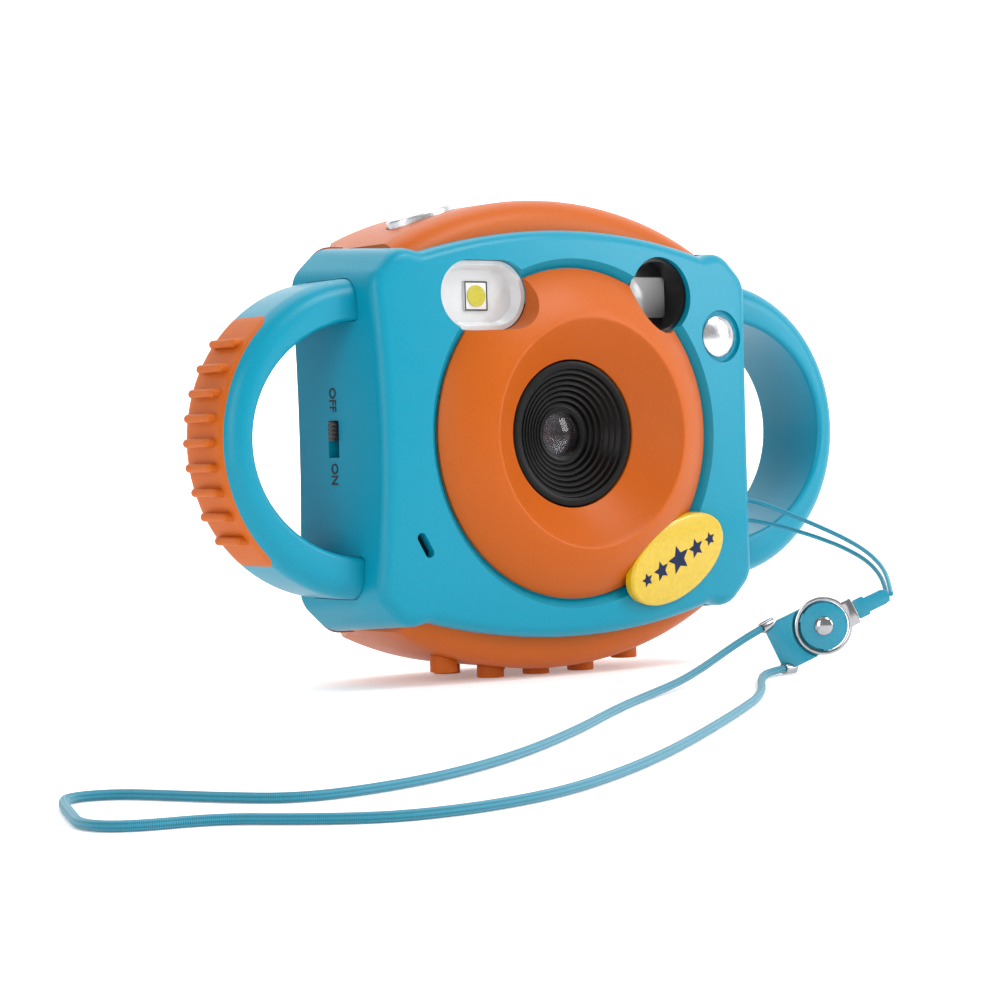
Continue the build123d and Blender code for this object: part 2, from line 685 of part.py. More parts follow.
# ---------------------------------------------------------------- screen
with BuildPart() as screen_window:
    with BuildSketch(facing(REAR_DEPTH - 1.15)):
        with Locations(SCREEN):
            RectangleRounded(*SCREEN_SIZE, 2.9)
    extrude(amount=-1.1)
keep(screen_window, "screen_window")

with BuildPart() as lcd_panel:
    with BuildSketch(facing(LCD_DEPTH)):
        with Locations(SCREEN):
            Rectangle(40.0, 33.0)
    extrude(amount=-3.3)
keep(lcd_panel, "lcd_panel")

# ---------------------------------------------------------------- electronics
with BuildPart() as main_board:
    with BuildSketch(facing(BOARD_DEPTH)):
        with Locations((0, 3.2)):
            Rectangle(58.0, 28.4)
        with Locations((-27.0, 0)):
            Rectangle(6.4, 40.4)
    extrude(amount=-1.2)
keep(main_board, "main_board")

with BuildPart() as processor:
    with BuildSketch(facing(BOARD_DEPTH)):
        with Locations((6.0, 6.0)):
            Rectangle(10.0, 10.0)
        with Locations((-8.0, 8.0)):
            Rectangle(6.0, 8.0)
    extrude(amount=1.1)
keep(processor, "board_chips")

with BuildPart() as sensor_board:
    with BuildSketch(facing(13.4)):
        Rectangle(20.0, 17.0)
    extrude(amount=-1.2)
keep(sensor_board, "sensor_board")

with BuildPart() as image_sensor:
    with BuildSketch(facing(13.4)):
        Rectangle(5.6, 5.0)
    extrude(amount=0.9)
keep(image_sensor, "image_sensor")

with BuildPart() as flex_cable:
    with BuildSketch(Plane(origin=(0, FACE_Y, LENS_Z - 4.0), x_dir=(0, 1, 0), z_dir=(1, 0, 0))):
        with BuildLine():
            run = FilletPolyline((14.65, -2.0), (17.6, -2.0), (17.6, 1.0), (24.0, 1.0), (24.0, 3.6),
                                 (27.85, 3.6), radius=0.9)
        trace(run, line_width=0.25)
    extrude(amount=4.0, both=True)
keep(flex_cable, "flex_cable")

with BuildPart() as push_switches:
    with BuildSketch(facing(BOARD_DEPTH + 1.2)):
        with Locations(*[(KEY_X, height) for height in KEY_HEIGHTS.values()]):
            Rectangle(6.0, 6.0)
    extrude(amount=-1.5)
    with BuildSketch(facing(BOARD_DEPTH + 2.7)):
        with Locations(*[(KEY_X, height) for height in KEY_HEIGHTS.values()]):
            Circle(1.6)
    extrude(amount=-0.6)
    with BuildSketch(button_plane.offset(-8.6)):
        Rectangle(6.0, 6.0)
    extrude(amount=2.4)
    with BuildSketch(button_plane.offset(-6.2)):
        Circle(1.6)
    extrude(amount=0.7)
keep(push_switches, "push_switches")

with BuildPart() as side_boards:
    with BuildSketch(button_plane.offset(-9.8)):
        Rectangle(14.0, 10.0)
    extrude(amount=1.2)
    with Locations((-32.6, FACE_Y + SWITCH_DEPTH, LENS_Z + 0.1)):
        Box(1.2, 9.0, 13.0)
    with Locations((31.6, FACE_Y + PORT_DEPTH - 3.1, LENS_Z + PORT_H - 2.0)):
        Box(12.6, 1.0, 16.0)
keep(side_boards, "side_boards")

with BuildPart() as slide_switch:
    with Locations((-34.5, FACE_Y + SWITCH_DEPTH, LENS_Z + 0.1)):
        Box(2.4, 4.4, 9.4)
keep(slide_switch, "slide_switch")

with BuildPart() as usb_socket:
    with Locations((35.2, FACE_Y + PORT_DEPTH + 1.6, LENS_Z + PORT_H)):
        Box(5.4, 2.9, 5.4)
    with Locations((37.6, FACE_Y + PORT_DEPTH + 1.6, LENS_Z + PORT_H)):
        Box(3.4, 1.9, 4.4, mode=Mode.SUBTRACT)
keep(usb_socket, "usb_socket")

with BuildPart() as card_socket:
    with Locations((31.6, FACE_Y + PORT_DEPTH - 1.6, LENS_Z + PORT_H - 2.0)):
        Box(12.6, 1.8, 13.0)
    with Locations((32.6, FACE_Y + PORT_DEPTH - 1.6, LENS_Z + PORT_H - 2.0)):
        Box(12.6, 0.9, 11.2, mode=Mode.SUBTRACT)
keep(card_socket, "card_socket")

with BuildPart() as speaker:
    with BuildSketch(facing(REAR_DEPTH - WALL - 4.4, -12.0, 25.0)):
        Circle(7.2)
    extrude(amount=-4.1)
    with BuildSketch(facing(REAR_DEPTH - WALL - 1.2, -12.0, 25.0)):
        Circle(6.0)
    extrude(amount=-3, taper=-20, mode=Mode.SUBTRACT)
keep(speaker, "speaker")

with BuildPart() as microphone:
    with BuildSketch(facing(1.7, MIC[0], MIC[1])):
        Circle(2.3)
    extrude(amount=-2.6)
keep(microphone, "microphone")

# ---------------------------------------------------------------- batteries
with BuildPart() as battery_cells:
    for depth, height in CELL_PLACES:
        with BuildSketch(Plane(origin=(-CELL_LENGTH / 2, FACE_Y + depth, LENS_Z + height), z_dir=(1, 0, 0))):
            Circle(CELL_R)
        extrude(amount=CELL_LENGTH - 0.9)
        with BuildSketch(Plane(origin=(CELL_LENGTH / 2 - 0.9, FACE_Y + depth, LENS_Z + height), z_dir=(1, 0, 0))):
            Circle(1.8)
        extrude(amount=0.9)
keep(battery_cells, "battery_cells")

with BuildPart() as battery_contacts:
    for depth, height in CELL_PLACES:
        for side in (-1, 1):
            with Locations((side * (CELL_LENGTH / 2 + 0.25), FACE_Y + depth, LENS_Z + height)):
                Box(0.4, 6.5, 6.5)
keep(battery_contacts, "battery_contacts")

with BuildPart() as battery_frame:
    with BuildSketch(facing(10.2)):
        with Locations((0, -23.4)):
            Rectangle(CELL_LENGTH + 3.4, 18.6)
    extrude(amount=-1.0)
    for side in (-1, 1):
        with BuildSketch(facing(11.2)):
            with Locations((side * (CELL_LENGTH / 2 + 1.1), -22.4)):
                Rectangle(1.2, 20.6)
        extrude(amount=-(27.4 - 11.2))
        with BuildSketch(facing(27.4)):
            with Locations((side * (CELL_LENGTH / 2 + 1.1), -27.2)):
                Rectangle(1.2, 11.0)
        extrude(amount=-(33.2 - 27.4))
keep(battery_frame, "battery_frame")

# ---------------------------------------------------------------- fasteners and bar
with BuildPart() as case_screws:
    with BuildSketch(facing(SCREW_SEAT + 1.7)):
        with GridLocations(2 * SCREW_X, 2 * SCREW_H, 2, 2):
            Circle(2.2)
    extrude(amount=1.6)
    with BuildSketch(facing(SCREW_SEAT + 0.1)):
        with GridLocations(2 * SCREW_X, 2 * SCREW_H, 2, 2):
            Circle(1.1)
    extrude(amount=14.0)
    with BuildSketch(facing(SCREW_SEAT + 1.7)):
        with GridLocations(2 * SCREW_X, 2 * SCREW_H, 2, 2):
            Rectangle(2.8, 0.6)
            Rectangle(0.6, 2.8)
    extrude(amount=0.8, mode=Mode.SUBTRACT)
keep(case_screws, "case_screws")

with BuildPart() as door_screw:
    with BuildSketch(facing(REAR_DEPTH - 0.5, 18.0, DOOR[1])):
        Circle(2.0)
    extrude(amount=-0.45)
    with BuildSketch(facing(REAR_DEPTH - 0.5, 18.0, DOOR[1])):
        Circle(1.0)
    extrude(amount=1.6)
    with BuildSketch(facing(REAR_DEPTH - 0.05, 18.0, DOOR[1])):
        Rectangle(2.6, 0.5)
        Rectangle(0.5, 2.6)
    extrude(amount=0.3, mode=Mode.SUBTRACT)
keep(door_screw, "door_screw")

with BuildPart() as strap_bar:
    with BuildSketch(Plane(origin=(38.7, FACE_Y + BAR_DEPTH, LENS_Z + BAR_H - 3.35))):
        Circle(0.6)
    extrude(amount=6.7)
keep(strap_bar, "strap_bar")

# ---------------------------------------------------------------- strap buckle
STRAP_PLANE = Plane(
    origin=SWIVEL,
    x_dir=Vector(
        cos(radians(STRAP_YAW)) * cos(radians(STRAP_TILT)),
        sin(radians(STRAP_YAW)) * cos(radians(STRAP_TILT)),
        sin(radians(STRAP_TILT)),
    ),
    z_dir=Vector(sin(radians(STRAP_YAW)), -cos(radians(STRAP_YAW)), 0),
)

with BuildPart() as swivel_ring:
    with BuildSketch(STRAP_PLANE.offset(0.25)):
        Circle(RING_R)
        with Locations((RING_R, 0)):
            Rectangle(2.2, 4.6)
        Circle(RING_R - RING_WIRE, mode=Mode.SUBTRACT)
    extrude(amount=0.9)
keep(swivel_ring, "swivel_ring")

TONGUE_END = 12.5
with BuildPart() as strap_tongue:
    with BuildSketch(STRAP_PLANE):
        with Locations(((RING_R + 1.2 + TONGUE_END) / 2, 0)):
            SlotOverall(TONGUE_END - RING_R - 1.2, 2.6)
        with Locations((RING_R + 2.2, 0)):
            Rectangle(2.0, 3.4)
    extrude(amount=1.3)
    add(swivel_ring.part, mode=Mode.SUBTRACT)
keep(strap_tongue, "strap_tongue")

BASE_BACK = -9.4
BASE_HALF = 4.3
with BuildPart() as buckle_base:
    with BuildSketch(STRAP_PLANE.offset(-1.1)):
        with BuildLine():
            Polyline((0, BASE_HALF), (BASE_BACK, BASE_HALF), (BASE_BACK, -BASE_HALF), (0, -BASE_HALF))
            ThreePointArc((0, -BASE_HALF), (BASE_HALF, 0), (0, BASE_HALF))
        make_face()
    extrude(amount=1.1)
    with BuildSketch(STRAP_PLANE):
        with BuildLine():
            Polyline((BASE_BACK, BASE_HALF), (BASE_BACK, -BASE_HALF), (-3.2, -BASE_HALF))
            ThreePointArc((-3.2, -BASE_HALF), (-RING_R - 0.36, 0), (-3.2, BASE_HALF))
            Line((-3.2, BASE_HALF), (BASE_BACK, BASE_HALF))
        make_face()
    extrude(amount=0.9)
keep(buckle_base, "buckle_base")

with BuildPart() as swivel_disc:
    with BuildSketch(STRAP_PLANE):
        Circle(DISC_R)
        with PolarLocations(DISC_R, 3, start_angle=15):
            Rectangle(0.5, 1.6)
    extrude(amount=1.35)
keep(swivel_disc, "swivel_disc")

with BuildPart() as swivel_rivet:
    with BuildSketch(STRAP_PLANE.offset(1.35)):
        Circle(1.65)
    extrude(amount=0.7)
    fillet(swivel_rivet.edges().filter_by(GeomType.CIRCLE), 0.2)
keep(swivel_rivet, "swivel_rivet")

# crimps: a barrel on each edge of the base, where the cord leaves
CRIMP_R = 0.95
CRIMP_LENGTH = 2.6
EXIT_1 = Vector(20.608, -39.807, 8.139)
EXIT_2 = Vector(23.344, -42.083, 1.15)
EXIT_1_WAY = Vector(-0.9236, 0.0807, -0.3746)
EXIT_2_WAY = Vector(-0.9962, -0.0872, 0.0)
with BuildPart() as cord_crimps:
    for exit_point, way in ((EXIT_1, EXIT_1_WAY), (EXIT_2, EXIT_2_WAY)):
        with BuildSketch(Plane(origin=exit_point, z_dir=way)):
            Circle(CRIMP_R)
        extrude(amount=-CRIMP_LENGTH)
    add(buckle_base.part, mode=Mode.SUBTRACT)
keep(cord_crimps, "cord_crimps")


# ---------------------------------------------------------------- cords
def corner_radii(points):
    """The largest arc that each corner's two runs allow."""
    radii = []
    for before, corner, after in zip(points, points[1:], points[2:]):
        run_in = Vector(*corner) - Vector(*before)
        run_out = Vector(*after) - Vector(*corner)
        half_turn = radians(run_in.get_angle(run_out)) / 2
        radii.append(0.45 * min(run_in.length, run_out.length) * cos(half_turn) / sin(half_turn))
    return radii


def cord_tube(points, diameter, name):
    """A tube of straight runs joined by tangent arcs."""
    radii = corner_radii(points)
    with BuildPart() as tube:
        with BuildLine():
            path = FilletPolyline(*points, radius=radii)
        with BuildSketch(Plane(origin=path @ 0, z_dir=path % 0)):
            Circle(diameter / 2)
        sweep()
    section = 3.141593 * diameter ** 2 / 4
    print(name, "length", round(path.length, 1), "volume ratio",
          round(tube.part.volume / (section * path.length), 4),
          "radii", [round(radius, 1) for radius in radii])
    keep(tube, name)


FLOOR = CORD_D / 2
wrist_route = [
    tuple(EXIT_1 + EXIT_1_WAY * 0.1), (17.9, -39.6, 7.05), (12.2, -40.4, 4.9), (4.6, -43.8, 2.9), (-5.5, -49.6, 1.3),
    (-19.5, -59.0, FLOOR), (-37.0, -73.5, FLOOR), (-60.0, -94.5, FLOOR), (-84.0, -114.0, FLOOR),
    (-104.0, -126.2, FLOOR), (-119.5, -131.1, FLOOR), (-128.2, -130.7, FLOOR),
    (-133.1, -124.0, FLOOR), (-136.7, -117.3, FLOOR), (-140.4, -110.9, FLOOR), (-146.6, -109.8, FLOOR),
    (-150.0, -116.0, FLOOR), (-153.8, -125.9, FLOOR), (-156.7, -133.7, FLOOR), (-154.0, -139.0, FLOOR),
    (-143.1, -140.5, FLOOR), (-137.8, -146.8, FLOOR), (-131.2, -152.7, FLOOR), (-124.5, -154.5, FLOOR),
    (-114.5, -153.6, FLOOR), (-102.3, -149.3, FLOOR), (-87.1, -139.9, FLOOR), (-70.0, -127.2, FLOOR),
    (-51.1, -111.5, FLOOR), (-27.7, -91.1, FLOOR), (-6.7, -72.0, FLOOR), (14.3, -46.6, FLOOR),
    (20.2, -42.7, 0.95), tuple(EXIT_2 + EXIT_2_WAY * 0.1),
]
cord_tube(wrist_route, CORD_D, "wrist_cord")

upper_route = [
    (39.3, -11.1, 30.2), (42.3, -11.2, 29.6), (44.4, -13.4, 28.7), (46.5, -18.0, 26.8), (48.2, -23.6, 24.6),
    (49.0, -30.0, 22.4), (48.2, -37.0, 20.0), (45.7, -43.4, 17.6), (42.6, -48.2, 15.3),
    (39.75, -51.8, 13.4),
]
lower_route = [
    (39.3, -11.1, 26.2), (42.4, -11.2, 25.9), (44.4, -13.4, 25.3), (46.4, -18.0, 24.1), (47.9, -23.6, 22.6),
    (48.6, -30.0, 20.8), (47.8, -37.0, 18.6), (45.2, -43.2, 16.3), (42.1, -47.8, 14.2),
    (39.3, -51.4, 12.4),
]
cord_tube(upper_route, STRING_D, "upper_string")
cord_tube(lower_route, STRING_D, "lower_string")
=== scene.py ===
import json
from math import cos, pi, radians, sin

import bpy
from bpy.props import FloatProperty, FloatVectorProperty, IntProperty, PointerProperty
from mathutils import Matrix, Vector
from mathutils.bvhtree import BVHTree

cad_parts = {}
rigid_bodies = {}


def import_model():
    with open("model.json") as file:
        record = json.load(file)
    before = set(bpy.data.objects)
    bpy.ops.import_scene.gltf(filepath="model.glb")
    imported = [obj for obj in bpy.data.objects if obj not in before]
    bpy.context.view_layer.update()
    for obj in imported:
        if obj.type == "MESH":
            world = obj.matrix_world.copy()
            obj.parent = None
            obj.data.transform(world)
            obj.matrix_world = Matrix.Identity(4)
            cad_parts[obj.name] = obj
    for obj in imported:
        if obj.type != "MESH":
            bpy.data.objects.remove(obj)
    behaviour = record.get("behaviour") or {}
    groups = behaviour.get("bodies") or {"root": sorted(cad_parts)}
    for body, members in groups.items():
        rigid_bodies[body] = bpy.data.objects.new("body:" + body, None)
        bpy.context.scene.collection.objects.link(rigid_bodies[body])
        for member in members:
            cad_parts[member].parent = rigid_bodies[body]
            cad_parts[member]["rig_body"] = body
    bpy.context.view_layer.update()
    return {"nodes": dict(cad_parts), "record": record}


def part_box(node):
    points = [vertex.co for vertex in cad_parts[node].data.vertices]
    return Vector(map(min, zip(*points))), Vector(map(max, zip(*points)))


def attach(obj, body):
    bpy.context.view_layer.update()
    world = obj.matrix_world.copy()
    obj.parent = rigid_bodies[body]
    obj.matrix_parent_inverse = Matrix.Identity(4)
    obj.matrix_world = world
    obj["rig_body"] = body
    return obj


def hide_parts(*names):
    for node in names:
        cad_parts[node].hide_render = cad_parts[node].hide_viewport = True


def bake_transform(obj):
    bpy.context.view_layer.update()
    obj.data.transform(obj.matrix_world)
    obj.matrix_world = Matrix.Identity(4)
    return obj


bl_info = {
    "name": "Children's Camera",
    "version": (1, 0, 0),
    "blender": (4, 5, 0),
    "location": "View3D > Sidebar > Camera",
    "description": "Finishes a children's camera with ring handles and a wrist strap",
    "category": "Object",
}

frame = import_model()
NODES = frame["nodes"]
MM = 0.001


def middle(node):
    """The middle of a node's box."""
    low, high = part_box(node)
    return (low + high) / 2


LENS_Z = middle("lens_barrel").z
FACE_LEAD = 0.65 * MM  # the fascia's flat stands this far before the barrel
FACE_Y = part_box("lens_barrel")[0].y - FACE_LEAD
JOIN_WITHIN = 2e-6  # corners of a node's triangles closer than this are one
FLAT_WITHIN = radians(0.4)  # faces that turn less than this are one flat


# ---------------------------------------------------------------- tools
def select_only(*pieces):
    """Select these pieces alone, the last one active."""
    if bpy.context.object and bpy.context.object.mode != "OBJECT":
        bpy.ops.object.mode_set(mode="OBJECT")
    for other in bpy.context.selected_objects:
        other.select_set(False)
    for piece in pieces:
        piece.select_set(True)
        bpy.context.view_layer.objects.active = piece


def apply_modifiers(piece):
    """Apply a piece's modifiers in their order."""
    select_only(piece)
    for modifier in list(piece.modifiers):
        bpy.ops.object.modifier_apply(modifier=modifier.name)


def settle(piece):
    """Put a piece's place into its mesh."""
    select_only(piece)
    bpy.ops.object.transform_apply(location=True, rotation=True, scale=True)


def soften(piece, width, segments=2, angle=35):
    """Round a piece's sharp edges."""
    bevel = piece.modifiers.new("Soft edges", "BEVEL")
    bevel.width = width
    bevel.segments = segments
    bevel.limit_method = "ANGLE"
    bevel.angle_limit = radians(angle)
    bevel.use_clamp_overlap = True
    bevel.harden_normals = False
    apply_modifiers(piece)


def thicken(piece, thickness):
    """Give a flat piece a wall, half of it on each side."""
    wall = piece.modifiers.new("Thickness", "SOLIDIFY")
    wall.thickness = thickness
    wall.offset = 0
    apply_modifiers(piece)


def smooth(piece, angle=35):
    """Shade a piece smooth up to an angle."""
    select_only(piece)
    bpy.ops.object.shade_smooth_by_angle(angle=radians(angle))


def placed(first, second, third, spot):
    """The turn and place of a piece, from its three axes and its origin."""
    matrix = Matrix((first, second, third)).transposed().to_4x4()
    matrix.translation = spot
    return matrix


def laid_on(normal, way):
    """A direction laid flat on a wall, and the one across it."""
    along = (way - normal * way.dot(normal)).normalized()
    return along, normal.cross(along)


def copy_of(node, name):
    """A closed, merged copy of a node's mesh, ready to be refined."""
    piece = bpy.data.objects.new(name, NODES[node].data.copy())
    bpy.context.scene.collection.objects.link(piece)
    select_only(piece)
    bpy.ops.object.mode_set(mode="EDIT")
    bpy.ops.mesh.select_all(action="SELECT")
    bpy.ops.mesh.remove_doubles(threshold=JOIN_WITHIN)
    bpy.ops.mesh.customdata_custom_splitnormals_clear()
    bpy.ops.object.mode_set(mode="OBJECT")
    return piece


def finish(piece, material, body, slot, *nodes):
    """Give a piece its material and body, and let it stand for its nodes."""
    piece.data.materials.clear()
    piece.data.materials.append(material)
    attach(piece, body)
    if nodes:
        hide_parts(*nodes)
    return piece


def refined(node, material, edge=0.0, angle=35, flatten=True):
    """A node's copy with flat faces joined, softened edges and smooth shading."""
    piece = copy_of(node, node + "_piece")
    if flatten:
        bpy.ops.object.mode_set(mode="EDIT")
        bpy.ops.mesh.select_all(action="SELECT")
        bpy.ops.mesh.dissolve_limited(angle_limit=FLAT_WITHIN)
        bpy.ops.object.mode_set(mode="OBJECT")
    if edge:
        soften(piece, edge, angle=angle)
    smooth(piece, angle)
    slot = next(part["material_slot"] for part in frame["record"]["subparts"]
                if part["node"] == node)
    return finish(piece, material, NODES[node]["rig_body"], slot, node)


def keep_node(node, material):
    """A node that stays as it is, with a better material."""
    mesh = NODES[node].data
    mesh.materials.clear()
    mesh.materials.append(material)
    smooth(NODES[node], 30)


# ---------------------------------------------------------------- materials
GLOSS_PLAY = 0.06  # how far a moulded surface's roughness strays either way


def shader(name, colour, roughness, **sockets):
    """A material with a plain Principled shader and constants on its sockets."""
    material = bpy.data.materials.get(name) or bpy.data.materials.new(name)
    material.use_nodes = True
    surface = material.node_tree.nodes["Principled BSDF"]
    surface.inputs["Base Color"].default_value = (*colour, 1)
    surface.inputs["Roughness"].default_value = roughness
    for socket, value in sockets.items():
        surface.inputs[socket.replace("_", " ")].default_value = value
    return material


def noise(tree, scale, detail=4.0, roughness=0.55, stretch=None):
    """A noise texture on the piece's own coordinates."""
    place = tree.nodes.new("ShaderNodeTexCoord")
    texture = tree.nodes.new("ShaderNodeTexNoise")
    texture.inputs["Scale"].default_value = scale
    texture.inputs["Detail"].default_value = detail
    texture.inputs["Roughness"].default_value = roughness
    if stretch:
        mapping = tree.nodes.new("ShaderNodeMapping")
        mapping.inputs["Scale"].default_value = stretch
        tree.links.new(place.outputs["Object"], mapping.inputs["Vector"])
        tree.links.new(mapping.outputs["Vector"], texture.inputs["Vector"])
    else:
        tree.links.new(place.outputs["Object"], texture.inputs["Vector"])
    return texture


def maths(tree, operation, *terms):
    """A maths node whose terms are sockets or plain numbers."""
    node = tree.nodes.new("ShaderNodeMath")
    node.operation = operation
    for socket, term in zip(node.inputs, terms):
        if isinstance(term, float):
            socket.default_value = term
        else:
            tree.links.new(term, socket)
    return node.outputs["Value"]


def stretched(tree, value, **ends):
    """A value spread from one range to another; each end is named as its socket is."""
    spread = tree.nodes.new("ShaderNodeMapRange")
    for end, amount in ends.items():
        spread.inputs[end.replace("_", " ")].default_value = amount
    tree.links.new(value, spread.inputs["Value"])
    return spread.outputs["Result"]


def tint(tree, factor, low_colour, high_colour, low=0.0, high=1.0):
    """Colour the shader between two tones, by a factor."""
    ramp = tree.nodes.new("ShaderNodeValToRGB")
    first, last = ramp.color_ramp.elements
    first.position, first.color = low, (*low_colour, 1)
    last.position, last.color = high, (*high_colour, 1)
    tree.links.new(factor, ramp.inputs["Fac"])
    tree.links.new(ramp.outputs["Color"], tree.nodes["Principled BSDF"].inputs["Base Color"])


def raise_by(tree, height, depth, strength=1.0):
    """Bump on the shader, from a height."""
    bump = tree.nodes.new("ShaderNodeBump")
    bump.inputs["Strength"].default_value = strength
    bump.inputs["Distance"].default_value = depth
    tree.links.new(height, bump.inputs["Height"])
    tree.links.new(bump.outputs["Normal"], tree.nodes["Principled BSDF"].inputs["Normal"])


def mottle(material, dark, light, scale, low=0.35, high=0.65):
    """Vary a material's colour between two tones."""
    tree = material.node_tree
    tint(tree, noise(tree, scale).outputs["Fac"], dark, light, low, high)


def grain(material, scale, depth):
    """A fine moulded grain: bump and a matching play in the roughness."""
    tree = material.node_tree
    cloud = noise(tree, scale, 3.0, 0.6).outputs["Fac"]
    raise_by(tree, cloud, depth)
    roughness = tree.nodes["Principled BSDF"].inputs["Roughness"]
    base = roughness.default_value
    tree.links.new(stretched(tree, cloud, To_Min=max(0.02, base - GLOSS_PLAY),
                             To_Max=min(1.0, base + GLOSS_PLAY)), roughness)


def shade(colour, factor):
    """A darker or lighter tone of a colour."""
    return tuple(min(1.0, channel * factor) for channel in colour)


def moulded(name, colour, roughness, scale=5200.0, depth=0.00002, play=0.06, **sockets):
    """Moulded plastic: two close tones and a fine grain."""
    material = shader(name, colour, roughness, **sockets)
    mottle(material, shade(colour, 1 - play), shade(colour, 1 + play), scale * 0.55)
    grain(material, scale, depth)
    return material


def brushed(name, colour, roughness, along=(1, 1, 12), scale=900.0):
    """Metal with fine drawn lines."""
    material = shader(name, colour, roughness, Metallic=1.0)
    tree = material.node_tree
    lines = noise(tree, scale, 2.0, 0.5, stretch=along)
    raise_by(tree, lines.outputs["Fac"], 0.00001, strength=0.25)
    mottle(material, shade(colour, 0.9), shade(colour, 1.06), scale * 0.3)
    return material


def braided(name, colour, turns_along, turns_round):
    """A round braid that follows the cord: crossing strands on the cord's own map, with painted
    shade between the strands and a painted highlight on their crowns.
    """
    material = shader(name, colour, 0.72, Sheen_Weight=0.25, Sheen_Roughness=0.5)
    tree = material.node_tree
    place = tree.nodes.new("ShaderNodeTexCoord")
    split = tree.nodes.new("ShaderNodeSeparateXYZ")
    tree.links.new(place.outputs["UV"], split.inputs["Vector"])
    waves = []
    for sense in (1, -1):
        along = maths(tree, "MULTIPLY", split.outputs["X"], turns_along * 2 * pi)
        both = maths(tree, "MULTIPLY_ADD", split.outputs["Y"], sense * turns_round * 2 * pi, along)
        waves.append(maths(tree, "SINE", both))
    height = stretched(tree, maths(tree, "MULTIPLY", *waves), From_Min=-1.0)
    # painted shade in the gaps between strands and painted highlight on their crowns, keyed to the
    # braid's height
    tint(tree, height, shade(colour, 0.62), shade(colour, 1.3), 0.2, 0.75)
    raise_by(tree, height, 0.00008, strength=0.6)
    return material


PAINTED_REFLECTION_SLOPE = -0.35  # how far the pane's painted reflection brightens to its left, against its height


def reflection_graded_pane(name, low_colour, high_colour, low, high, roughness):
    """A pane whose tone rises from one corner to the other: a painted reflection of the studio's
    light.
    """
    material = shader(name, high_colour, roughness, Coat_Weight=0.6, Coat_Roughness=0.05)
    tree = material.node_tree
    place = tree.nodes.new("ShaderNodeTexCoord")
    split = tree.nodes.new("ShaderNodeSeparateXYZ")
    tree.links.new(place.outputs["Object"], split.inputs["Vector"])
    slope = maths(tree, "MULTIPLY_ADD", split.outputs["X"], PAINTED_REFLECTION_SLOPE, split.outputs["Z"])
    # painted reflection: the pane's colour gets lighter upward and to the left
    tint(tree, stretched(tree, slope, From_Min=low, From_Max=high), low_colour, high_colour)
    return material


class CameraFinish(bpy.types.PropertyGroup):
    """Colours and sizes that a user would change."""

    blue: FloatVectorProperty(
        name="Blue", description="Colour of the front case and handles", subtype="COLOR",
        size=3, min=0, max=1, default=(0.0, 0.240, 0.355))
    orange: FloatVectorProperty(
        name="Orange", description="Colour of the rear case and fascia", subtype="COLOR",
        size=3, min=0, max=1, default=(0.47, 0.092, 0.004))
    grip: FloatVectorProperty(
        name="Grip", description="Colour of the rubber grips", subtype="COLOR",
        size=3, min=0, max=1, default=(0.50, 0.105, 0.006))
    badge: FloatVectorProperty(
        name="Badge", description="Colour of the oval badge", subtype="COLOR",
        size=3, min=0, max=1, default=(0.60, 0.40, 0.002))
    strap: FloatVectorProperty(
        name="Strap", description="Colour of the strap and its buckle", subtype="COLOR",
        size=3, min=0, max=1, default=(0.010, 0.235, 0.345))
    ink: FloatVectorProperty(
        name="Ink", description="Colour of the printed marks", subtype="COLOR",
        size=3, min=0, max=1, default=(0.002, 0.010, 0.055))
    edge: FloatProperty(
        name="Edge", description="Rounding of moulded edges", default=0.00018,
        min=0.0, max=0.001, unit="LENGTH", precision=5)
    cord_sides: IntProperty(
        name="Cord sides", description="Bevel resolution of the cords", default=5, min=2, max=8)


def settings():
    """The user's colours and sizes."""
    return bpy.context.scene.camera_finish


FINISHES = {}


def palette():
    """Every finish on the camera, made once."""
    if not FINISHES:
        FINISHES.update(make_finishes(settings()))
    return FINISHES


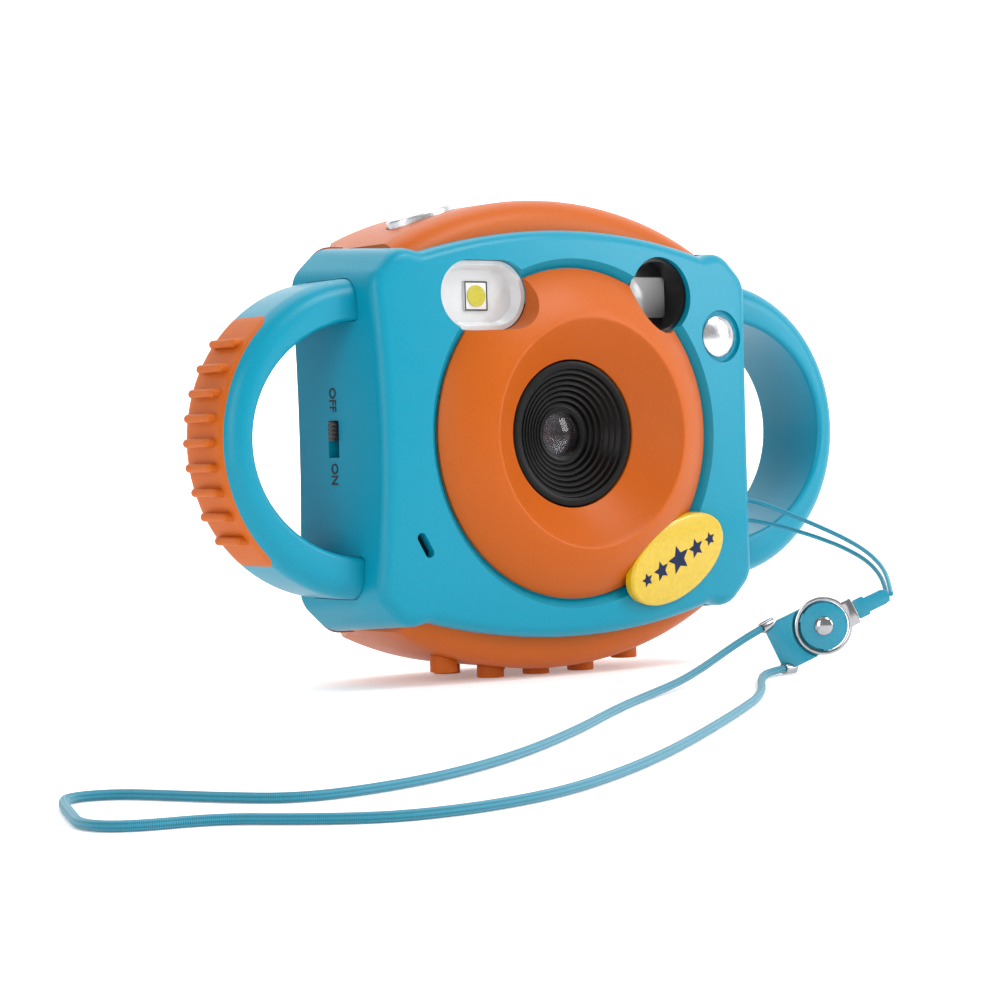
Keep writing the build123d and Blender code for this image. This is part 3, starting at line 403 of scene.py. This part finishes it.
def make_finishes(made):
    """Each finish from the user's colours."""
    blue = tuple(made.blue)
    orange = tuple(made.orange)
    strap = tuple(made.strap)
    return {
        "blue": moulded("blue_shell", blue, 0.34, play=0.05, Specular_IOR_Level=0.26),
        "orange": moulded("orange_shell", orange, 0.40, play=0.05, Specular_IOR_Level=0.24),
        "grip": moulded("orange_rubber", tuple(made.grip), 0.52, scale=3800.0, depth=0.00002,
                        play=0.04, Specular_IOR_Level=0.22),
        "black": moulded("black_shell", (0.004, 0.004, 0.005), 0.34, play=0.2,
                         Specular_IOR_Level=0.35),
        "barrel": moulded("barrel_black", (0.002, 0.002, 0.002), 0.30, play=0.2,
                          Specular_IOR_Level=0.14),
        "badge": moulded("badge_yellow", tuple(made.badge), 0.25, scale=2600.0, depth=0.000008,
                         Coat_Weight=0.4),
        "ink": moulded("printed_ink", tuple(made.ink), 0.5, scale=2600.0, depth=0.000008,
                       Specular_IOR_Level=0.2),
        "black_ink": moulded("black_ink", (0.006, 0.012, 0.018), 0.6, scale=2600.0, depth=0.000008),
        "white_ink": moulded("white_ink", (0.75, 0.76, 0.77), 0.5, scale=2600.0, depth=0.000008),
        "reflector": moulded("reflector_white", (0.62, 0.63, 0.64), 0.22, scale=1500.0,
                             depth=0.000006, play=0.02, Coat_Weight=0.5),
        "lamp": moulded("lamp_white", (0.70, 0.70, 0.68), 0.35, depth=0.000006, play=0.02),
        "phosphor": moulded("phosphor", (0.46, 0.40, 0.015), 0.5, scale=9000.0, play=0.12),
        "glass": glass("lens_glass", (0.62, 0.60, 0.72), 1.0, 0.02),
        "inner_glass": glass("inner_glass", (0.86, 0.48, 0.55), 0.9, 0.03),
        # painted reflection: the finder's pane is coloured light to dark across its face
        "window": reflection_graded_pane("finder_pane", (0.34, 0.345, 0.35), (0.84, 0.85, 0.86),
                         0.0560, 0.0630, 0.2),
        "rear_window": glass("eyepiece_glass", (0.55, 0.57, 0.6), 0.9, 0.03),
        "screen": screen_pane(),
        "lcd": moulded("lcd_face", (0.012, 0.014, 0.02), 0.3, scale=8000.0),
        "mirror": polished("mirror_face", (0.66, 0.67, 0.70), 0.24),
        "chrome": polished("strap_chrome", (0.40, 0.40, 0.42), 0.16),
        "silver": moulded("button_silver", (0.60, 0.62, 0.65), 0.28, scale=7000.0,
                          depth=0.000008, play=0.08, Metallic=0.85),
        "steel": brushed("drawn_steel", (0.62, 0.62, 0.63), 0.34),
        "board": printed_board("circuit_board", (0.015, 0.12, 0.045)),
        "chip": moulded("chip_epoxy", (0.018, 0.018, 0.02), 0.6, scale=6000.0),
        "film": moulded("flex_film", (0.42, 0.16, 0.02), 0.3, scale=3000.0),
        "jacket": moulded("cell_jacket", (0.03, 0.04, 0.06), 0.25, scale=2500.0, play=0.15),
        "strap_plastic": moulded("strap_plastic", strap, 0.30, scale=5200.0, play=0.08),
        # cord and strings carry painted shade between their strands and a painted highlight on the
        # strand crowns
        "cord": braided("cord_braid", shade(strap, 0.82), 620.0, 4.0),
        "string": braided("string_twist", shade(strap, 1.1), 55.0, 2.0),
        "backdrop": moulded("studio_backdrop", (0.9, 0.9, 0.9), 0.8, scale=20.0, play=0.002,
                            Emission_Color=(1, 1, 1, 1), Emission_Strength=1.0),
        "floor": moulded("studio_floor", (0.90, 0.90, 0.90), 0.7, scale=30.0, depth=0.00001,
                         play=0.004, Emission_Color=(1, 1, 1, 1), Emission_Strength=0.22),
    }


def glass(name, colour, transmission, roughness):
    """Clear moulded glass with the faintest tint and cloud."""
    material = shader(name, colour, roughness, Transmission_Weight=transmission, IOR=1.5,
                      Coat_Weight=0.5, Coat_Roughness=0.02)
    mottle(material, shade(colour, 0.985), shade(colour, 1.01), 300.0)
    return material


def polished(name, colour, roughness):
    """Plated metal with a trace of handling in its gloss."""
    material = shader(name, colour, roughness, Metallic=1.0)
    tree = material.node_tree
    handling = stretched(tree, noise(tree, 700.0).outputs["Fac"],
                         To_Min=roughness * 0.6, To_Max=roughness * 1.6)
    tree.links.new(handling, tree.nodes["Principled BSDF"].inputs["Roughness"])
    mottle(material, shade(colour, 0.97), shade(colour, 1.02), 400.0)
    return material


def screen_pane():
    """The dark window over the screen."""
    material = shader("screen_window", (0.006, 0.007, 0.009), 0.08, Coat_Weight=1.0,
                      Coat_Roughness=0.03)
    mottle(material, (0.005, 0.006, 0.008), (0.009, 0.010, 0.013), 60.0)
    return material


def printed_board(name, colour):
    """Solder resist with a faint weave and traces."""
    material = shader(name, colour, 0.32, Coat_Weight=0.3)
    mottle(material, shade(colour, 0.8), shade(colour, 1.35), 900.0, 0.45, 0.55)
    grain(material, 1800.0, 0.00002)
    return material


# ---------------------------------------------------------------- strap
WRIST_ROUTE = [
    (20.516, -39.799, 8.102), (17.9, -39.6, 7.05), (12.2, -40.4, 4.9), (4.6, -43.8, 2.9),
    (-5.5, -49.6, 1.3), (-19.5, -59.0, 0.65), (-37.0, -73.5, 0.65), (-60.0, -94.5, 0.65),
    (-84.0, -114.0, 0.65), (-104.0, -126.2, 0.65), (-119.5, -131.1, 0.65), (-128.2, -130.7, 0.65),
    (-133.1, -124.0, 0.65), (-136.7, -117.3, 0.65), (-140.4, -110.9, 0.65), (-146.6, -109.8, 0.65),
    (-150.0, -116.0, 0.65), (-153.8, -125.9, 0.65), (-156.7, -133.7, 0.65), (-154.0, -139.0, 0.65),
    (-143.1, -140.5, 0.65), (-137.8, -146.8, 0.65), (-131.2, -152.7, 0.65), (-124.5, -154.5, 0.65),
    (-114.5, -153.6, 0.65), (-102.3, -149.3, 0.65), (-87.1, -139.9, 0.65), (-70.0, -127.2, 0.65),
    (-51.1, -111.5, 0.65), (-27.7, -91.1, 0.65), (-6.7, -72.0, 0.65), (14.3, -46.6, 0.65),
    (20.2, -42.7, 0.95), (23.244, -42.092, 1.15),
]
UPPER_ROUTE = [
    (39.3, -11.1, 30.2), (42.3, -11.2, 29.6), (44.4, -13.4, 28.7), (46.5, -18.0, 26.8),
    (48.2, -23.6, 24.6), (49.0, -30.0, 22.4), (48.2, -37.0, 20.0), (45.7, -43.4, 17.6),
    (42.6, -48.2, 15.3), (39.75, -51.8, 13.4),
]
LOWER_ROUTE = [
    (39.3, -11.1, 26.2), (42.4, -11.2, 25.9), (44.4, -13.4, 25.3), (46.4, -18.0, 24.1),
    (47.9, -23.6, 22.6), (48.6, -30.0, 20.8), (47.8, -37.0, 18.6), (45.2, -43.2, 16.3),
    (42.1, -47.8, 14.2), (39.3, -51.4, 12.4),
]
STRAP_YAW = radians(-35)
STRAP_TILT = radians(24.5)
RIVET_OUT = 1.7 * MM  # from the ring's middle to the rivet's
RIVET_RADIUS = 1.65 * MM
RIVET_FLATNESS = 0.42
HEAD_OUT = 1.36 * MM  # from the ring's middle to the middle of the rivet's head


def spline_cord(name, route, diameter, material):
    """A round cord on one smooth curve through its route."""
    curve = bpy.data.curves.new(name, "CURVE")
    curve.dimensions = "3D"
    curve.bevel_depth = diameter / 2
    curve.bevel_resolution = settings().cord_sides
    curve.use_fill_caps = True
    curve.resolution_u = 8
    spline = curve.splines.new("NURBS")
    spline.points.add(len(route) - 1)
    for point, place in zip(spline.points, route):
        point.co = (*(value * MM for value in place), 1.0)
    spline.order_u = 3
    spline.use_endpoint_u = True
    curve.materials.append(material)
    piece = bpy.data.objects.new(name, curve)
    bpy.context.scene.collection.objects.link(piece)
    return piece


def spline_tube(name, route, diameter, material):
    """A mesh cord on the same kind of curve, and the points of its centre line."""
    piece = spline_cord(name, route, diameter, material)
    piece.data.bevel_depth = 0
    line = bpy.data.meshes.new_from_object(piece)
    path = [tuple(vertex.co) for vertex in line.vertices]
    piece.data.bevel_depth = diameter / 2
    select_only(piece)
    bpy.ops.object.convert(target="MESH")
    piece = bpy.context.object
    piece.name = name
    smooth(piece, 60)
    return piece, path


def strap_frame():
    """The buckle's own axes: along it, across it and out of its face, from the ring's middle."""
    out = Vector((sin(STRAP_YAW), -cos(STRAP_YAW), 0))
    along = Vector((cos(STRAP_YAW) * cos(STRAP_TILT), sin(STRAP_YAW) * cos(STRAP_TILT),
                    sin(STRAP_TILT)))
    return placed(along, out.cross(along), out, middle("swivel_rivet") - out * RIVET_OUT)


class OBJECT_OT_wrist_strap(bpy.types.Operator):
    """Wrist cord, two strings, crimps, buckle and swivel"""

    bl_idname = "camera_finish.wrist_strap"
    bl_label = "Wrist Strap"

    def execute(self, context):
        finishes = palette()
        # ring, tongue, disc and base
        refined("swivel_ring", finishes["chrome"], edge=0.22 * MM, angle=40)
        tongue = refined("strap_tongue", finishes["strap_plastic"], edge=0.25 * MM, angle=40)
        refined("swivel_disc", finishes["strap_plastic"], edge=0.16 * MM, angle=40)
        refined("buckle_base", finishes["strap_plastic"], edge=0.28 * MM, angle=40)
        # rivet: a domed head
        bpy.ops.mesh.primitive_uv_sphere_add(segments=64, ring_count=32, radius=RIVET_RADIUS)
        rivet = context.object
        rivet.name = "swivel_rivet_piece"
        rivet.matrix_world = (strap_frame() @ Matrix.Translation((0, 0, HEAD_OUT))
                              @ Matrix.Diagonal((1, 1, RIVET_FLATNESS, 1)))
        settle(rivet)
        smooth(rivet, 80)
        finish(rivet, finishes["chrome"], "buckle", "chrome", "swivel_rivet")
        # crimps and cords
        refined("cord_crimps", finishes["chrome"], edge=0.12 * MM, angle=40)
        wrist, path = spline_tube("wrist_cord_piece", WRIST_ROUTE, 1.3 * MM, finishes["cord"])
        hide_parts("wrist_cord")
        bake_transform(wrist)
        for name, route, length in (("upper_string", UPPER_ROUTE, 0.0503),
                                    ("lower_string", LOWER_ROUTE, 0.0490)):
            string = spline_cord(name + "_piece", route, 0.8 * MM, finishes["string"])
            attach(string, "camera")
            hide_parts(name)
        return {"FINISHED"}


# ---------------------------------------------------------------- case
class OBJECT_OT_case(bpy.types.Operator):
    """Front case, rear case and fascia"""

    bl_idname = "camera_finish.case"
    bl_label = "Case"

    def execute(self, context):
        finishes = palette()
        refined("front_shell", finishes["blue"], angle=32)
        refined("rear_shell", finishes["orange"], angle=32)
        refined("lens_plate", finishes["orange"], angle=32)
        return {"FINISHED"}


class OBJECT_OT_handles(bpy.types.Operator):
    """Ring handles and their ribbed grips"""

    bl_idname = "camera_finish.handles"
    bl_label = "Handles"

    def execute(self, context):
        finishes = palette()
        for side in ("left", "right"):
            refined(side + "_handle", finishes["blue"], angle=32)
            refined(side + "_grip", finishes["grip"], edge=settings().edge, angle=35)
        return {"FINISHED"}


class OBJECT_OT_lens(bpy.types.Operator):
    """Stepped lens barrel and its glass"""

    bl_idname = "camera_finish.lens"
    bl_label = "Lens"

    def execute(self, context):
        finishes = palette()
        refined("lens_barrel", finishes["barrel"], edge=0.05 * MM, angle=30, flatten=False)
        refined("lens_glass", finishes["glass"], angle=30, flatten=False)
        refined("inner_lens", finishes["inner_glass"], angle=30, flatten=False)
        refined("lens_cell", finishes["black"], angle=30, flatten=False)
        return {"FINISHED"}


LINE_WIDTH = 0.22 * MM  # the dark line round the flash's lamp
LINE_DEPTH = 0.06 * MM


class OBJECT_OT_front_details(bpy.types.Operator):
    """Flash, finder, mirror, badge, shutter button, power knob and feet"""

    bl_idname = "camera_finish.front_details"
    bl_label = "Front Details"

    def execute(self, context):
        finishes = palette()
        refined("flash_reflector", finishes["reflector"], angle=35)
        refined("flash_led", finishes["lamp"], edge=0.1 * MM)
        refined("flash_phosphor", finishes["phosphor"])
        refined("finder_tube", finishes["black"], angle=35)
        refined("finder_window", finishes["window"], edge=0.1 * MM)
        refined("selfie_mirror", finishes["mirror"], angle=50)
        refined("badge", finishes["badge"], angle=40)
        refined("shutter_button", finishes["silver"], angle=40)
        refined("power_knob", finishes["black"], edge=0.08 * MM)
        refined("rubber_feet", finishes["grip"], edge=0.5 * MM, angle=50)
        self.lamp_frame(context, finishes)
        return {"FINISHED"}

    def lamp_frame(self, context, finishes):
        """A thin dark line round the lamp."""
        low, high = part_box("flash_led")
        centre = middle("flash_led")
        bpy.ops.mesh.primitive_plane_add(
            size=1, location=(centre.x, low.y - LINE_DEPTH / 2, centre.z),
            rotation=(radians(90), 0, 0))
        line = context.object
        line.name = "lamp_outline"
        line.scale = (high.x - low.x, high.z - low.z, 1)
        settle(line)
        select_only(line)
        bpy.ops.object.mode_set(mode="EDIT")
        bpy.ops.mesh.select_all(action="SELECT")
        bpy.ops.mesh.inset(thickness=LINE_WIDTH)
        bpy.ops.mesh.delete(type="FACE")
        bpy.ops.object.mode_set(mode="OBJECT")
        thicken(line, LINE_DEPTH)
        finish(line, finishes["chip"], "camera", "black_plastic")


WORDS = (("OFF", 6.8), ("ON", -5.9))  # each with its height over the lens's middle, in mm
WORD_SIZE = 2.4 * MM
WORD_DEPTH = 0.05 * MM
BADGE_X, BADGE_Z = 20.5, -22.9  # the badge's middle, from the lens's, in mm
BADGE_OUT = 2.3 * MM  # and how far its face stands before the fascia's flat
BADGE_TURN = radians(23.0)
BADGE_LEAN = radians(11.0)
STARS = ((-8.3, 1.35), (-4.6, 1.9), (0, 2.7), (4.6, 1.9), (8.3, 1.35))  # place and size, in mm
STAR_WAIST = 0.47
STAR_DEPTH = 0.12 * MM
SIGNS = (("key_up", 3, 0), ("key_down", 3, 180), ("key_play", 3, -90), ("key_ok", 24, 0),
         ("key_menu", 4, 45))  # each key's sign: its corners and its turn in degrees
SIGN_RADIUS = 1.15 * MM
SIGN_DEPTH = 0.16 * MM


class OBJECT_OT_marks(bpy.types.Operator):
    """Printed marks: switch positions, the badge's stars and the keys' symbols"""

    bl_idname = "camera_finish.marks"
    bl_label = "Printed Marks"

    def execute(self, context):
        finishes = palette()
        for text, height in WORDS:
            self.word(context, text, height, finishes)
        self.stars(context, finishes)
        self.symbols(context, finishes)
        return {"FINISHED"}

    def word(self, context, text, height, finishes):
        """A word down the left cheek, laid on its wall."""
        bpy.ops.object.text_add()
        mark = context.object
        mark.name = "switch_mark_" + text.lower()
        mark.data.body = text
        mark.data.size = WORD_SIZE
        mark.data.offset = WORD_DEPTH
        mark.data.extrude = WORD_DEPTH
        mark.data.align_x = "CENTER"
        mark.data.align_y = "CENTER"
        bpy.ops.object.convert(target="MESH")
        mark = context.object
        outside = Vector((-0.1, middle("power_knob").y, LENS_Z + height * MM))
        place, normal = self.wall(outside, Vector((1, 0, 0)))
        along, across = laid_on(normal, Vector((0, 0, -1)))
        mark.matrix_world = placed(along, across, normal, place + normal * 0.03 * MM)
        settle(mark)
        finish(mark, finishes["black_ink"], "camera", "black_plastic")

    def wall(self, start, way):
        """Where a line first meets the front case, and that wall's direction."""
        mesh = NODES["front_shell"].data
        tree = BVHTree.FromPolygons([vertex.co for vertex in mesh.vertices],
                                    [tuple(face.vertices) for face in mesh.polygons])
        place, normal = tree.ray_cast(start, way)[:2]
        return place, normal.normalized()

    def stars(self, context, finishes):
        """Five stars along the badge, the middle one largest."""
        out = Vector((BADGE_X, 0, BADGE_Z)).normalized()
        normal = Vector((0, -1, 0)) * cos(BADGE_LEAN) + out * sin(BADGE_LEAN)
        along, across = laid_on(normal, Vector((cos(BADGE_TURN), 0, sin(BADGE_TURN))))
        centre = Vector((BADGE_X * MM, FACE_Y - BADGE_OUT, LENS_Z + BADGE_Z * MM))
        pieces = []
        for shift, radius in STARS:
            bpy.ops.mesh.primitive_circle_add(vertices=10, radius=radius * MM, fill_type="NGON")
            star = context.object
            for vertex in list(star.data.vertices)[1::2]:
                vertex.co *= STAR_WAIST
            star.matrix_world = placed(along, across, normal, centre + along * shift * MM)
            settle(star)
            pieces.append(star)
        select_only(*pieces)
        bpy.ops.object.join()
        stars = context.object
        stars.name = "badge_stars"
        thicken(stars, STAR_DEPTH)
        soften(stars, 0.03 * MM)
        finish(stars, finishes["ink"], "camera", "black_plastic")

    def symbols(self, context, finishes):
        """Raised signs on the keys: three arrows, a dot and a square."""
        for key, corners, turn in SIGNS:
            spot = middle(key)
            bpy.ops.mesh.primitive_cylinder_add(
                vertices=corners, radius=SIGN_RADIUS, depth=SIGN_DEPTH,
                location=(spot.x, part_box(key)[1].y, spot.z), rotation=(radians(90), 0, 0))
            sign = context.object
            sign.name = key + "_sign"
            settle(sign)
            sign.matrix_world = (Matrix.Translation(spot) @ Matrix.Rotation(radians(turn), 4, "Y")
                                 @ Matrix.Translation(-spot))
            settle(sign)
            soften(sign, 0.04 * MM)
            ink, slot = (("black_ink", "black_plastic") if key == "key_ok"
                         else ("white_ink", "silver_paint"))
            finish(sign, finishes[ink], NODES[key]["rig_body"], slot)


class OBJECT_OT_rear(bpy.types.Operator):
    """Screen, eyepiece, keys, door, port cover and screws"""

    bl_idname = "camera_finish.rear"
    bl_label = "Rear"

    def execute(self, context):
        finishes = palette()
        refined("screen_window", finishes["screen"], edge=0.15 * MM)
        refined("eyepiece", finishes["rear_window"], edge=0.15 * MM)
        refined("battery_door", finishes["orange"], edge=0.15 * MM)
        refined("door_screw", finishes["steel"], edge=0.08 * MM)
        refined("case_screws", finishes["steel"], edge=0.08 * MM)
        refined("port_cover", finishes["blue"], edge=0.3 * MM)
        for key in ("key_menu", "key_up", "key_down", "key_play"):
            refined(key, finishes["black"], angle=40)
        refined("key_ok", finishes["badge"], angle=40)
        return {"FINISHED"}


INSIDE = {
    "flash_board": "board", "main_board": "board", "sensor_board": "board", "side_boards": "board",
    "board_chips": "chip", "image_sensor": "chip", "push_switches": "chip", "flex_cable": "film",
    "lcd_panel": "lcd", "slide_switch": "steel", "usb_socket": "steel", "card_socket": "steel",
    "speaker": "black", "microphone": "black", "battery_cells": "jacket",
    "battery_contacts": "steel", "battery_frame": "black", "strap_bar": "steel",
}


class OBJECT_OT_inside(bpy.types.Operator):
    """Boards, cells, sockets and the rest of the inside"""

    bl_idname = "camera_finish.inside"
    bl_label = "Inside"

    def execute(self, context):
        finishes = palette()
        for node, finish_name in INSIDE.items():
            keep_node(node, finishes[finish_name])
        return {"FINISHED"}


# ---------------------------------------------------------------- stage
VIEW_TURN = radians(-35.03)
VIEW_LIFT = radians(1.10)
VIEW_ROLL = radians(-1.60)
VIEW_PLACE = (-297.28, -415.99, 40.92)  # in mm
VIEW_LENS = 102.8
FLOOR_SIZE, FLOOR_AWAY, FLOOR_DROP = 3.0, 0.2, 0.00002
BACKDROP_SIZE, BACKDROP_AWAY = 8.0, 1.7
LIGHT_AIM = (0, 0, 0.04)
LIGHTS = (  # name, place, size and power
    ("key", (0.35, -0.65, 0.95), (0.5, 0.4), 7.0),
    ("front", (-0.85, -0.45, 0.30), (0.4, 0.6), 3.2),
    ("side", (0.90, -0.85, 0.42), (0.45, 0.6), 7.0),
    ("top", (0.0, 0.30, 0.95), (0.9, 0.6), 3.5),
)
WORLD_STRENGTH = 0.42


class OBJECT_OT_stage(bpy.types.Operator):
    """Floor, backdrop, lights and the view"""

    bl_idname = "camera_finish.stage"
    bl_label = "Stage"

    def execute(self, context):
        finishes = palette()
        away = Vector((-sin(VIEW_TURN), cos(VIEW_TURN), 0))
        bpy.ops.mesh.primitive_plane_add(
            size=FLOOR_SIZE, location=(*(away * FLOOR_AWAY).xy, -FLOOR_DROP),
            rotation=(0, 0, VIEW_TURN))
        floor = context.object
        floor.name = "studio_floor"
        floor.data.materials.append(finishes["floor"])
        bpy.ops.mesh.primitive_plane_add(
            size=BACKDROP_SIZE, location=away * BACKDROP_AWAY,
            rotation=(radians(90), 0, VIEW_TURN))
        backdrop = context.object
        backdrop.name = "studio_backdrop"
        backdrop.data.materials.append(finishes["backdrop"])
        self.view(context)
        for row in LIGHTS:
            self.light(context, *row)
        world = context.scene.world or bpy.data.worlds.new("studio")
        context.scene.world = world
        world.use_nodes = True
        world.node_tree.nodes["Background"].inputs["Color"].default_value = (1, 1, 1, 1)
        world.node_tree.nodes["Background"].inputs["Strength"].default_value = WORLD_STRENGTH
        context.scene.view_settings.view_transform = "Standard"
        return {"FINISHED"}

    def view(self, context):
        """The view from the left, a little above the middle."""
        back = Vector((sin(VIEW_TURN) * cos(VIEW_LIFT), -cos(VIEW_TURN) * cos(VIEW_LIFT),
                       sin(VIEW_LIFT)))
        right = Vector((cos(VIEW_TURN), sin(VIEW_TURN), 0))
        up = back.cross(right)
        turned_right = right * cos(VIEW_ROLL) + up * sin(VIEW_ROLL)
        turned_up = up * cos(VIEW_ROLL) - right * sin(VIEW_ROLL)
        lens = bpy.data.cameras.new("view")
        lens.lens = VIEW_LENS
        lens.sensor_width = 36
        lens.clip_start = 0.01
        camera = bpy.data.objects.new("view", lens)
        camera.matrix_world = placed(turned_right, turned_up, back, Vector(VIEW_PLACE) * MM)
        context.scene.collection.objects.link(camera)
        context.scene.camera = camera

    def light(self, context, name, place, size, power):
        """A soft panel that faces the camera's body."""
        lamp = bpy.data.lights.new(name, "AREA")
        lamp.shape = "RECTANGLE"
        lamp.size, lamp.size_y = size
        lamp.energy = power
        holder = bpy.data.objects.new(name, lamp)
        holder.location = place
        aim = Vector(LIGHT_AIM) - Vector(place)
        holder.rotation_euler = aim.to_track_quat("-Z", "Y").to_euler()
        context.scene.collection.objects.link(holder)


STEPS = (
    OBJECT_OT_stage, OBJECT_OT_wrist_strap, OBJECT_OT_case, OBJECT_OT_handles, OBJECT_OT_lens,
    OBJECT_OT_front_details, OBJECT_OT_marks, OBJECT_OT_rear, OBJECT_OT_inside,
)


class VIEW3D_PT_camera_finish(bpy.types.Panel):
    """The steps, in order"""

    bl_label = "Children's Camera"
    bl_space_type = "VIEW_3D"
    bl_region_type = "UI"
    bl_category = "Camera"

    def draw(self, context):
        layout = self.layout
        made = context.scene.camera_finish
        for name in ("blue", "orange", "grip", "badge", "strap", "ink", "edge", "cord_sides"):
            layout.prop(made, name)
        for step in STEPS:
            layout.operator(step.bl_idname)


CLASSES = (CameraFinish, *STEPS, VIEW3D_PT_camera_finish)


def register():
    """Add the finish's settings, steps and panel."""
    for cls in CLASSES:
        bpy.utils.register_class(cls)
    bpy.types.Scene.camera_finish = PointerProperty(type=CameraFinish)


def unregister():
    """Take them away again."""
    del bpy.types.Scene.camera_finish
    for cls in reversed(CLASSES):
        bpy.utils.unregister_class(cls)


def main():
    """Run every step in order."""
    register()
    select_only()
    for step in STEPS:
        group, name = step.bl_idname.split(".")
        getattr(getattr(bpy.ops, group), name)()


if __name__ == "__main__":
    main()
